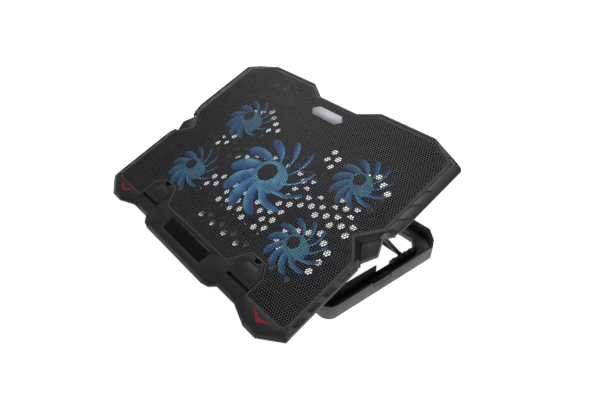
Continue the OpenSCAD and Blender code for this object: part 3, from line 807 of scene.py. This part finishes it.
# ---- stoppers ----
STOPPER = [(18.5, 6.5, 0), (18.5, 21.2, 0.8), (8.9, 34.5, 0.8), (5.2, 34.5, 0), (4.2, 31.4, 0),
           (1.9, 30.0, 0), (-1.9, 30.0, 0), (-4.2, 31.4, 0), (-5.2, 34.5, 0), (-12.5, 34.5, 0.8),
           (-18.5, 28.5, 0.8), (-18.5, 6.5, 0)]
PANEL = [(15.6, 9.6, 0), (15.6, 20.6, 0.6), (8.2, 27.2, 0.6), (-8.6, 27.2, 0.6), (-15.6, 20.8, 0.6),
         (-15.6, 9.6, 0)]
STOPPER_HALF = 18.5
STOPPER_TOP = 1.35
STOPPER_BOTTOM = -0.85
PANEL_DEPTH = 0.4
BARREL = 1.25
BARREL_SIDES = 20


def barrel(bm, x0, x1, y, z, radius):
    """A closed cylinder along x with broken ends."""
    chamfer = min(0.3, radius / 3)
    sections = [(x0, radius - chamfer), (x0 + chamfer, radius), (x1 - chamfer, radius),
                (x1, radius - chamfer)]
    angles = [2 * math.pi * k / BARREL_SIDES for k in range(BARREL_SIDES)]
    rings = []
    for x, r in sections:
        rings.append([bm.verts.new((x, y + r * math.cos(a), z + r * math.sin(a))) for a in angles])
    for low, high in zip(rings, rings[1:]):
        join_rings(bm, low, high)
    bm.faces.new(rings[0])
    bm.faces.new(rings[-1])


def stopper(side):
    """A flip-up tab: a plate with a sunken panel, on a barrel round its pin."""
    bm = bmesh.new()
    x, y, z = deck_point(f"stopper_{side}_flip")
    slab(bm, STOPPER, STOPPER_TOP, STOPPER_BOTTOM, 0.35, holes=[PANEL])
    slab(bm, offset_loop(clockwise(PANEL), -0.5), STOPPER_TOP - PANEL_DEPTH, STOPPER_BOTTOM + 0.05, 0.1)
    barrel(bm, -STOPPER_HALF, STOPPER_HALF, y, z, BARREL)
    neck = [(-STOPPER_HALF, y + 1, 0), (STOPPER_HALF, y + 1, 0), (STOPPER_HALF, y - 1.2, 0),
            (-STOPPER_HALF, y - 1.2, 0)]
    slab(bm, neck, STOPPER_TOP, z, 0.3)
    if side == "left":
        bmesh.ops.scale(bm, vec=(-1, 1, 1), verts=bm.verts)
    bmesh.ops.translate(bm, vec=(x, 0, 0), verts=bm.verts)
    node = f"stopper_{side}"
    finish_piece(bm, node + "_tab", [SHELL], node, [node])


for side in ("left", "right"):
    stopper(side)

# ---- fans ----
BIG_REACH = 59.5
SMALL_REACH = 36.0
HUB_SHARE = 0.36
CAP_SHARE = 0.62
BORE = 1.5
ROTOR_LOW = -20.3
ROTOR_TOP = -5.0
LATHE_STEPS = 48
BLADES = 11
BLADE_MIDDLE = -12.6
BLADE_ROWS = 12
BLADE_COLUMNS = 5
BLADE_SWEEP = math.radians(36)
SWEEP_POWER = 1.1
BLADE_ROOT_PITCH = 48
BLADE_UNTWIST = 16
BLADE_CHORD = 0.215
BLADE_CAMBER = 0.16
BLADE_THICK = 0.9
BLADE_SUNK = 0.6


def blade_grid(reach, hub, turn):
    """Rows of (point, normal, share of the way across, share of the way out) over one blade."""
    rows = []
    for i in range(BLADE_ROWS + 1):
        t = i / BLADE_ROWS
        r = hub - BLADE_SUNK + (reach - hub + BLADE_SUNK) * t
        angle = turn + BLADE_SWEEP * t ** SWEEP_POWER
        out = Vector((math.cos(angle), math.sin(angle), 0))
        around = Vector((-out.y, out.x, 0))
        lean = BLADE_SWEEP * SWEEP_POWER * max(t, 0.05) ** (SWEEP_POWER - 1) * r / (reach - hub)
        spine = (out + around * lean).normalized()
        across = Vector((-spine.y, spine.x, 0))
        pitch = math.radians(BLADE_ROOT_PITCH - BLADE_UNTWIST * t)
        chord_way = across * math.cos(pitch) - Vector((0, 0, math.sin(pitch)))
        normal = spine.cross(chord_way).normalized()
        round_tip = math.sqrt(max(0.05, 1 - t ** 7))
        chord = reach * BLADE_CHORD * (0.62 + 0.75 * t - 0.25 * t * t) * round_tip
        row = []
        for j in range(BLADE_COLUMNS + 1):
            v = j / BLADE_COLUMNS - 0.5
            camber = BLADE_CAMBER * chord * (0.25 - v * v)
            point = out * r + chord_way * (v * chord) - normal * camber + Vector((0, 0, BLADE_MIDDLE))
            row.append((point, normal, min(1.0, max(0.0, 1.25 * v + 0.45 + 0.3 * t ** 4)), t))
        rows.append(row)
    return rows


def add_blade(bm, edge_layer, reach_layer, reach, hub, turn):
    """One blade as a closed shell; its vertices carry the shares that its light follows."""
    skins = []
    for side in (-0.5, 0.5):
        skin = []
        for row in blade_grid(reach, hub, turn):
            verts = []
            for point, normal, edge, share in row:
                vert = bm.verts.new(point + normal * side * BLADE_THICK)
                vert[edge_layer] = edge
                vert[reach_layer] = share
                verts.append(vert)
            skin.append(verts)
        skins.append(skin)
        for a, b in zip(skin, skin[1:]):
            for j in range(BLADE_COLUMNS):
                bm.faces.new((a[j], b[j], b[j + 1], a[j + 1]))
    low, high = skins
    border = [(i, 0) for i in range(BLADE_ROWS)]
    border += [(BLADE_ROWS, j) for j in range(BLADE_COLUMNS)]
    border += [(i, BLADE_COLUMNS) for i in range(BLADE_ROWS, 0, -1)]
    border += [(0, j) for j in range(BLADE_COLUMNS, 0, -1)]
    for (i, j), (k, m) in zip(border, border[1:] + border[:1]):
        bm.faces.new((low[i][j], low[k][m], high[k][m], high[i][j]))


def lathe(bm, profile):
    """Turns a closed list of (radius, height, material number) about z."""
    angles = [2 * math.pi * k / LATHE_STEPS for k in range(LATHE_STEPS)]
    rings = []
    for r, z, _ in profile:
        rings.append([bm.verts.new((r * math.cos(a), r * math.sin(a), z)) for a in angles])
    for a, b, (_, _, index) in zip(rings, rings[1:] + rings[:1], profile):
        painted(bm, index, join_rings, a, b)


def rotor(node, joint, reach, material):
    """Hub with a dark cap and lit blades."""
    bm = bmesh.new()
    edge_layer = bm.verts.layers.float.new("edge")
    reach_layer = bm.verts.layers.float.new("reach")
    hub = reach * HUB_SHARE
    cap = hub * CAP_SHARE
    # Painted light: the hub's sides (material 0) share the blades' glow; the cap (material 1) is the motor's
    # black.
    lathe(bm, [(BORE, ROTOR_TOP, 1), (cap - 0.6, ROTOR_TOP, 1), (cap, ROTOR_TOP - 0.25, 0),
               (hub - 1.6, ROTOR_TOP - 1.4, 0), (hub - 0.4, ROTOR_TOP - 3.2, 0), (hub, ROTOR_TOP - 5.5, 0),
               (hub, ROTOR_LOW, 0), (hub - 1.5, ROTOR_LOW, 0), (hub - 1.5, ROTOR_TOP - 5, 0),
               (hub - 3, ROTOR_TOP - 2.5, 0), (BORE, ROTOR_TOP - 2, 0)])
    for k in range(BLADES):
        add_blade(bm, edge_layer, reach_layer, reach, hub, 2 * math.pi * k / BLADES)
    x, y, _ = deck_point(joint)
    bmesh.ops.translate(bm, vec=(x, y, 0), verts=bm.verts)
    body = joint.removesuffix("_spin")
    finish_piece(bm, node + "_lit", [material, MOTOR], body, [node])


rotor("big_fan_rotor", "big_fan_spin", BIG_REACH, BIG_BLADE)
for corner in ("rear_left", "rear_right", "front_left", "front_right"):
    rotor("rotor_" + corner, f"fan_{corner}_spin", SMALL_REACH, BLADE)

# ---- the other nodes, with broken edges ----
# The tray's outer walls and notch shelves are as light as the bezel; its inside is painted near black as
# painted shade.
TRAY_WALL = 7
tray = bevelled("bottom_shell", 0.5, BLACK_AND_SHADE, SHELL).data
tray_inside = rounded(offset_loop(RIM, TRAY_WALL))
for face in tray.polygons:
    centre = TO_DECK @ face.center / MM
    face.material_index = int(not inside(centre, tray_inside))

# Material, bevel width and nodes.
FINISHES = [
    (SILVER, 0.3, ["rear_badge"]),
    (RED, 0.2, ["chevron_left", "chevron_right"]),
    (CIRCUIT, 0.15, ["control_board"]),
    (SOCKET, 0.15, ["usb_port_in", "usb_port_out"]),
    (BLACK_AND_SHADE, 0.15, ["speed_wheel"]),
    (STEEL, 0.1, ["wheel_axle"]),
    (WIRE, 0.2, ["fan_wiring"]),
    (SCREW, 0.15, ["case_screws"]),
    (RUBBER, 0.3, ["deck_foot_left", "deck_foot_right"]),
    (STEEL, 0.1, ["stopper_pin_left", "stopper_pin_right"]),
    (BLACK_AND_SHADE, 0.4, ["hinge_lug_left", "hinge_lug_right"]),
    (BLACK_AND_SHADE, 0.3, ["prop_lug_left", "prop_lug_right"]),
    (STAND, 0.5, ["stand_front_frame", "stand_rear_frame"]),
    (STEEL, 0.2, ["hinge_pin_left", "hinge_pin_right"]),
    (RUBBER, 0.3, ["stand_feet"]),
    (PROP, 0.2, ["prop_bracket"]),
    (STEEL, 0.2, ["prop_pin_left", "prop_pin_right"]),
    (MOTOR, 0.3, ["big_fan_motor"]),
    (LED, 0.1, ["fan_leds"]),
]
for material, width, nodes in FINISHES:
    for node in nodes:
        bevelled(node, width, material)
for node in frame["nodes"]:
    if node.startswith("motor_"):
        bevelled(node, 0.3, MOTOR)
    elif "shaft" in node:
        bevelled(node, 0.15, SCREW)

# ---- seam clips ----
CLIP_ROUND = 3.4
CLIP_WAIST = 11.0
CLIP_DEPTH = 3.4
CLIP_SUNK = 1.0
CLIP_EDGE = 0.4
SEAM_FROM_FRONT = 11.5
PARTING_HALF = 0.35
ROUND_STEPS = 8


def prism(bm, profile, x0, x1, shrink=CLIP_EDGE):
    """Carries a (y, z) outline along x, with broken edges round both ends."""
    middle = sum((Vector(p) for p in profile), Vector((0, 0))) / len(profile)
    rings = []
    for x, pull in ((x0, shrink), (x0 + shrink, 0), (x1 - shrink, 0), (x1, shrink)):
        places = [Vector(p) + (middle - Vector(p)).normalized() * pull for p in profile]
        rings.append([bm.verts.new((x, p.x, p.y)) for p in places])
    for a, b in zip(rings, rings[1:]):
        join_rings(bm, a, b)
    for end in (rings[0], rings[-1]):
        bm.faces.new(end).select = True


def seam_clip(side):
    """A rocker with a round rear end in the notch across the frame's seam, and below it a dark strip in the
    parting line's groove, painted shade.
    """
    node = f"seam_clip_{side}"
    low, high = (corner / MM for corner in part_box(node))
    inner, outer = sorted((abs(low.x), abs(high.x)))
    front = low.y + 0.2
    seam = low.y + SEAM_FROM_FRONT
    rear = high.y - CLIP_ROUND
    top = high.z - CLIP_SUNK
    rocker = [(front, CLIP_WAIST), (front, top - 2.2), (front + 1.8, top - 0.4), (front + 3.0, top),
              (seam - 1.5, top), (seam - 0.8, top - 0.8), (seam, top - 0.8), (seam + 0.7, top)]
    for k in range(ROUND_STEPS - 1):
        angle = math.pi / 2 - math.pi * k / ROUND_STEPS
        rocker.append((rear + CLIP_ROUND * math.cos(angle), top - CLIP_ROUND + CLIP_ROUND * math.sin(angle)))
    root = [(front + 0.1, low.z), (front + 0.1, CLIP_WAIST + 2),
            (rear - 1, CLIP_WAIST + 2), (rear - 1, low.z)]
    # Painted shade: a thin dark strip fills the parting line's groove.
    parting = [(seam - PARTING_HALF, low.z), (seam - PARTING_HALF, CLIP_WAIST),
               (seam + PARTING_HALF, CLIP_WAIST), (seam + PARTING_HALF, low.z)]
    bm = bmesh.new()
    prism(bm, rocker, inner, outer - 0.05)
    prism(bm, root, inner + 0.1, inner + CLIP_DEPTH)
    prism(bm, parting, outer - 1.5, outer - 0.02, 0.05)
    if side == "left":
        bmesh.ops.scale(bm, vec=(-1, 1, 1), verts=bm.verts)
    body = frame["nodes"][node]["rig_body"]
    finish_piece(bm, node + "_lever", [CLIP], body, [node], IN_FRAME)


for side in ("left", "right"):
    seam_clip(side)


# ---- room ----
FLOOR_HALF = 12000
FLOOR_LIP = 2000
FLOOR_GLOW = 0.92
WORLD_GLOW = 0.1
# Name, place and aim in metres, width in metres and power in watts.
LIGHTS = [("rear_left_softbox", (-1.0, 0.5, 1.3), (0, 0, 0.05), 1.1, 8),
          ("right_softbox", (1.6, -0.2, 0.7), (0, 0, 0.05), 0.9, 4),
          ("overhead", (-0.1, -0.3, 1.8), (0, 0, 0), 1.0, 3)]


def area_light(name, place, aim, size, power):
    data = bpy.data.lights.new(name, "AREA")
    data.shape = "DISK"
    data.size = size
    data.energy = power
    light = bpy.data.objects.new(name, data)
    light.location = place
    light.rotation_mode = "QUATERNION"
    light.rotation_quaternion = (Vector(aim) - Vector(place)).to_track_quat("-Z", "Y")
    bpy.context.scene.collection.objects.link(light)


def studio_floor():
    """A white floor whose far edges rise past the horizon."""
    bm = bmesh.new()
    bmesh.ops.create_grid(bm, x_segments=8, y_segments=8, size=FLOOR_HALF)
    for vert in bm.verts:
        if max(abs(vert.co.x), abs(vert.co.y)) > FLOOR_HALF - 1:
            vert.co.z = FLOOR_LIP
    bmesh.ops.scale(bm, vec=(MM,) * 3, verts=bm.verts)
    mesh = bpy.data.meshes.new("floor")
    bm.to_mesh(mesh)
    bm.free()
    floor = bpy.data.objects.new("floor", mesh)
    bpy.context.scene.collection.objects.link(floor)
    m = Nodes("floor_paper", (0.85, 0.85, 0.86), 0.8)
    m.colour(m.ramp(m.noise(3, 2), [(0.3, (0.84, 0.84, 0.85)), (0.7, (0.87, 0.87, 0.88))]))
    m.shader.inputs["Emission Color"].default_value = (1, 1, 1, 1)
    m.shader.inputs["Emission Strength"].default_value = FLOOR_GLOW
    mesh.materials.append(m.material)


def room():
    studio_floor()
    world = bpy.data.worlds.new("studio")
    bpy.context.scene.world = world
    world.use_nodes = True
    background = world.node_tree.nodes["Background"]
    background.inputs["Color"].default_value = (1, 1, 1, 1)
    background.inputs["Strength"].default_value = WORLD_GLOW
    for light in LIGHTS:
        area_light(*light)


# ---- camera ----
AZIMUTH = math.radians(48.39)
ELEVATION = math.radians(34.22)
ROLL = math.radians(2.72)
# The place is in metres, the sensor and the lens in millimetres.
CAMERA_PLACE = (0.4278, -0.3287, 0.3892)
SENSOR_WIDTH = 36
LENS = 31.26


def look_camera():
    """Camera at the photograph's viewing angle."""
    data = bpy.data.cameras.new("camera")
    data.sensor_width = SENSOR_WIDTH
    data.lens = LENS
    data.clip_start = 0.01
    camera = bpy.data.objects.new("camera", data)
    level_way = Vector((-math.sin(AZIMUTH), math.cos(AZIMUTH), 0)) * math.cos(ELEVATION)
    forward = level_way - Vector((0, 0, math.sin(ELEVATION)))
    level = Vector((forward.y, -forward.x, 0)).normalized()
    up = level.cross(forward)
    right = level * math.cos(ROLL) + up * math.sin(ROLL)
    top = up * math.cos(ROLL) - level * math.sin(ROLL)
    turn = Matrix((right, top, -forward)).transposed().to_4x4()
    camera.matrix_world = Matrix.Translation(CAMERA_PLACE) @ turn
    bpy.context.scene.collection.objects.link(camera)
    bpy.context.scene.camera = camera


room()
look_camera()
bpy.context.scene.view_settings.view_transform = "Standard"
